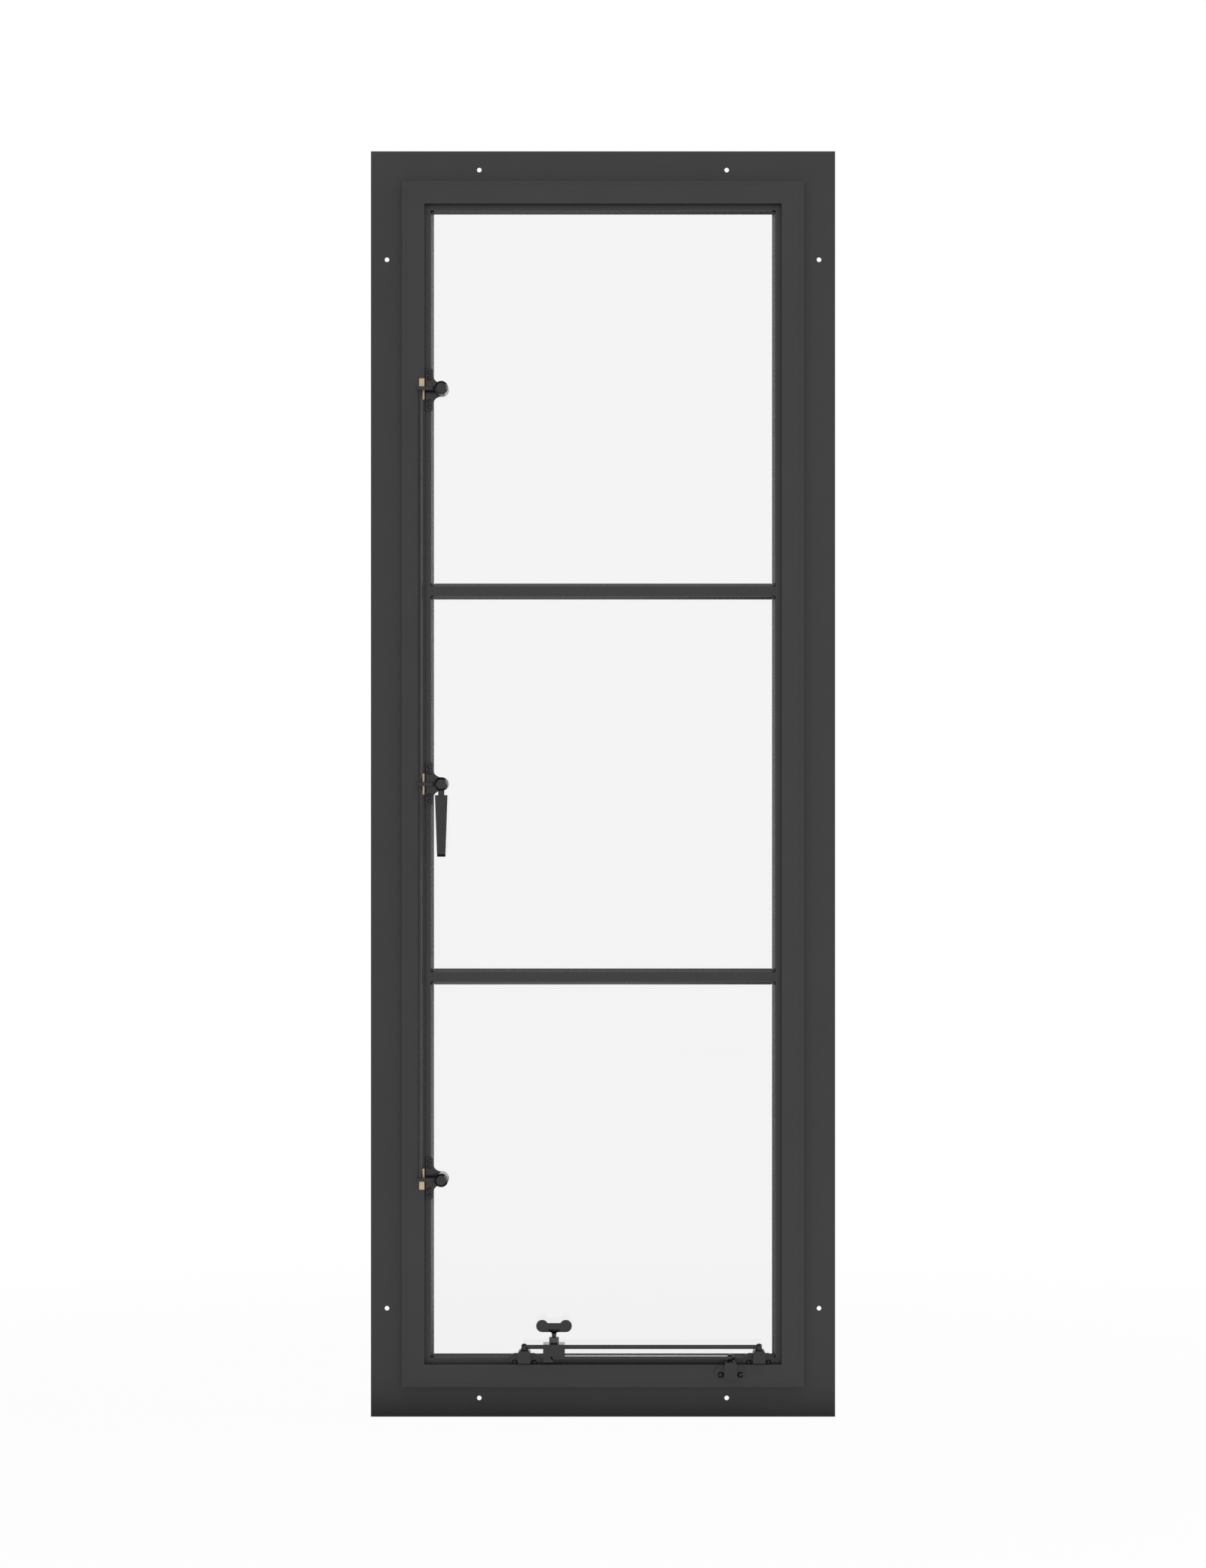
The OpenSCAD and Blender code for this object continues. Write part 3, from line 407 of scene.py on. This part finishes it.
# 1 for what the camera sees straight or through the glass, and 0 after any bounce off a surface
def seenDirectly(tree, path):
    bounces = addNode(tree, "ShaderNodeMath", {
        0: path.outputs["Glossy Depth"], 1: path.outputs["Diffuse Depth"]}, operation="ADD")
    none = addNode(tree, "ShaderNodeMath", {0: bounces.outputs[0], 1: 0.5}, operation="LESS_THAN")
    way = addNode(tree, "ShaderNodeMath", {
        0: path.outputs["Is Camera Ray"], 1: path.outputs["Is Transmission Ray"]}, operation="MAXIMUM")
    return addNode(tree, "ShaderNodeMath", {0: none.outputs[0], 1: way.outputs[0]},
                   operation="MULTIPLY").outputs[0]


# 1 for what is mirrored in paint, metal or glass, also where the mirrored way leads through a pane
def mirroredSight(tree, path):
    return addNode(tree, "ShaderNodeMath", {0: path.outputs["Glossy Depth"], 1: 0.5},
                   operation="GREATER_THAN").outputs[0]


# A white studio: the camera, glass and polished edges see white behind the window
def studioWorld(look):
    world = bpy.data.worlds.new("studio")
    bpy.context.scene.world = world
    world.use_nodes = True
    tree = world.node_tree
    tree.nodes.clear()
    path = addNode(tree, "ShaderNodeLightPath")
    direction = addNode(tree, "ShaderNodeTexCoord").outputs["Generated"]
    way = addNode(tree, "ShaderNodeSeparateXYZ", {0: direction})
    rise = addNode(tree, "ShaderNodeMath", {0: way.outputs["Z"]}, operation="ABSOLUTE")
    level = addNode(tree, "ShaderNodeMapRange", {
        "Value": rise.outputs[0], "From Min": look["levelEnd"], "From Max": look["levelStart"],
        "To Min": look["levelLeast"], "To Max": 1.0}, interpolation_type="SMOOTHSTEP")
    behind = addNode(tree, "ShaderNodeMapRange", {
        "Value": way.outputs["Y"], "From Min": 0.0, "From Max": look["outsideFrom"],
        "To Min": look["roomSide"], "To Max": look["outside"]}, interpolation_type="SMOOTHSTEP")
    sideways = addNode(tree, "ShaderNodeMapRange", {
        "Value": way.outputs["X"], "From Min": look["leftEnd"], "From Max": look["leftStart"],
        "To Min": look["leftSide"], "To Max": 1.0}, interpolation_type="SMOOTHSTEP")
    across = addNode(tree, "ShaderNodeMath", {0: behind.outputs[0], 1: sideways.outputs[0]},
                     operation="MULTIPLY")
    mirrored = addNode(tree, "ShaderNodeMath", {0: level.outputs[0], 1: across.outputs[0]},
                       operation="MULTIPLY")
    raised = addNode(tree, "ShaderNodeMath", {0: mirrored.outputs[0], 1: look["mirrorBase"]},
                     operation="ADD")
    glossy = addNode(tree, "ShaderNodeMix", {
        0: mirroredSight(tree, path), 2: look["ambient"], 3: raised.outputs[0]}, data_type="FLOAT")
    strength = addNode(tree, "ShaderNodeMix", {
        0: seenDirectly(tree, path), 2: glossy.outputs[0], 3: 1.0}, data_type="FLOAT")
    shader = addNode(tree, "ShaderNodeBackground", {
        "Color": (1, 1, 1, 1), "Strength": strength.outputs[0]})
    addNode(tree, "ShaderNodeOutputWorld", {"Surface": shader.outputs[0]})


worldLook = {"ambient": 0.34, "roomSide": 0.04, "outside": 1.0, "outsideFrom": 0.35,
             "leftSide": 0.9, "leftStart": -0.2, "leftEnd": -0.75,
             "levelStart": 0.10, "levelEnd": 0.60, "levelLeast": 0.26, "mirrorBase": 0.03}
studioWorld(worldLook)


# Plain pale floor that is white to the camera and keeps a soft shadow of the window. In mirrors it glows
# instead, in bands of set brightness by how far out it lies: painted reflections that light and darken
# the window's lower faces
def paleFloor(look):
    material, tree = newMaterial("pale_floor")
    path = addNode(tree, "ShaderNodeLightPath")
    matt = addNode(tree, "ShaderNodeBsdfDiffuse", {"Color": linear(look["colour"])})
    white = addNode(tree, "ShaderNodeEmission", {"Color": (1, 1, 1, 1), "Strength": 1.0})
    place = addNode(tree, "ShaderNodeTexCoord").outputs["Object"]
    spot = addNode(tree, "ShaderNodeSeparateXYZ", {0: place})
    fromRight = addNode(tree, "ShaderNodeMath", {0: look["rightEdge"], 1: spot.outputs["X"]},
                        operation="SUBTRACT")
    outward = addNode(tree, "ShaderNodeMath", {0: spot.outputs["Y"], 1: fromRight.outputs[0]},
                      operation="MINIMUM")
    bands = look["mirroredGlowBands"]
    band = addNode(tree, "ShaderNodeMapRange", {
        "Value": outward.outputs[0], "From Min": bands[0][0], "From Max": bands[-1][0]})
    levels = addNode(tree, "ShaderNodeValToRGB", {0: band.outputs[0]})
    stops = levels.color_ramp.elements
    for outwardMetres, brightness in bands[1:-1]:
        stops.new((outwardMetres - bands[0][0]) / (bands[-1][0] - bands[0][0]))
    for stop, (outwardMetres, brightness) in zip(stops, bands):
        stop.color = (brightness, brightness, brightness, 1.0)
    levels.color_ramp.interpolation = "EASE"
    # What the back of a pane mirrors of the room is left out, so that the glass has one even tone
    indoors = addNode(tree, "ShaderNodeMath", {0: spot.outputs["Y"], 1: 0.0}, operation="LESS_THAN")
    paneBack = addNode(tree, "ShaderNodeMath", {
        0: indoors.outputs[0], 1: path.outputs["Is Transmission Ray"]}, operation="MULTIPLY")
    kept = addNode(tree, "ShaderNodeMath", {0: 1.0, 1: paneBack.outputs[0]}, operation="SUBTRACT")
    # The floor's glow as seen in mirrors, a painted reflection: bright in front of the window, nearly
    # black close under it, brighter again behind
    mirroredGlow = addNode(tree, "ShaderNodeEmission", {
        "Color": levels.outputs["Color"], "Strength": kept.outputs[0]})
    away = addNode(tree, "ShaderNodeVectorMath", {0: place}, operation="LENGTH")
    near, far = look["shadowReach"]
    fade = addNode(tree, "ShaderNodeMapRange", {
        "Value": away.outputs["Value"], "From Min": near, "From Max": far,
        "To Min": look["keepWhite"], "To Max": 1.0}, interpolation_type="SMOOTHSTEP")
    shown = addNode(tree, "ShaderNodeMath", {0: seenDirectly(tree, path), 1: fade.outputs[0]},
                    operation="MULTIPLY")
    lit = addNode(tree, "ShaderNodeMixShader", {0: mirroredSight(tree, path), 1: matt.outputs[0],
                                                2: mirroredGlow.outputs[0]})
    both = addNode(tree, "ShaderNodeMixShader", {0: shown.outputs[0], 1: lit.outputs[0],
                                                 2: white.outputs[0]})
    addNode(tree, "ShaderNodeOutputMaterial", {"Surface": both.outputs[0]})
    half = look["half"]
    z = cadBounds[0][2] - look["under"]
    data = bpy.data.meshes.new("floor")
    data.from_pydata([(-half, -half, z), (half, -half, z), (half, half, z), (-half, half, z)], [],
                     [(0, 1, 2, 3)])
    data.materials.append(material)
    floor = bpy.data.objects.new("floor", data)
    bpy.context.scene.collection.objects.link(floor)


# mirroredGlowBands: how brightly the floor glows in mirrors by how far out it lies, a painted reflection
floorLook = {"colour": "#f4f4f2", "keepWhite": 0.96, "half": 60.0, "under": 0.0005,
             "shadowReach": (0.8, 2.6),
             "rightEdge": 0.4,
             "mirroredGlowBands": [(-8.75, 0.02), (-8.65, 0.9), (-0.45, 0.95), (-0.17, 0.85), (-0.09, 0.03),
                               (0.15, 0.03), (0.35, 0.40), (3.0, 0.45), (8.0, 1.0)]}
paleFloor(floorLook)


# Soft boxes as area lamps, each aimed at the middle of the window and unseen through the glass
def softBox(name, look):
    lamp = bpy.data.lights.new(name, "AREA")
    lamp.shape = "RECTANGLE"
    lamp.size, lamp.size_y = look["size"]
    lamp.energy = look["radiance"] * math.pi * look["size"][0] * look["size"][1]
    box = bpy.data.objects.new(name, lamp)
    box.location = look["place"]
    box.rotation_euler = (middlePoint - Vector(look["place"])).to_track_quat("-Z", "Y").to_euler()
    box.visible_camera = False
    box.visible_transmission = False
    bpy.context.scene.collection.objects.link(box)


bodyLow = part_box("frame_sill")[0]
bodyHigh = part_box("frame_head")[1]
middlePoint = Vector((0, 0, (bodyLow.z + bodyHigh.z) / 2))
softBoxes = {
    "front_card": {"place": (-0.4, -8.5, 1.8), "size": (10.0, 7.0), "radiance": 0.91},
    "front_top": {"place": (-0.4, -5.4, 6.4), "size": (6.0, 3.0), "radiance": 1.0},
    "right_box": {"place": (5.6, -0.6, 3.0), "size": (2.8, 6.6), "radiance": 3.4},
}
for name, look in softBoxes.items():
    softBox(name, look)
print("studio: %d soft boxes" % len(softBoxes))

# Straight on to the middle of the frame, which is 1600 pixels across at 1.143 mm each
view = {"distance": 6.4, "tall": 2.3774, "sensor": 36.0}
camera = bpy.data.cameras.new("camera")
camera.sensor_fit = "VERTICAL"
camera.sensor_height = view["sensor"]
camera.lens = view["sensor"] * view["distance"] / view["tall"]
cameraObject = bpy.data.objects.new("camera", camera)
cameraObject.location = (0, bodyLow.y - view["distance"], middlePoint.z)
cameraObject.rotation_euler = (math.pi / 2, 0, 0)
bpy.context.scene.collection.objects.link(cameraObject)
bpy.context.scene.camera = cameraObject
bpy.context.scene.view_settings.view_transform = "Standard"
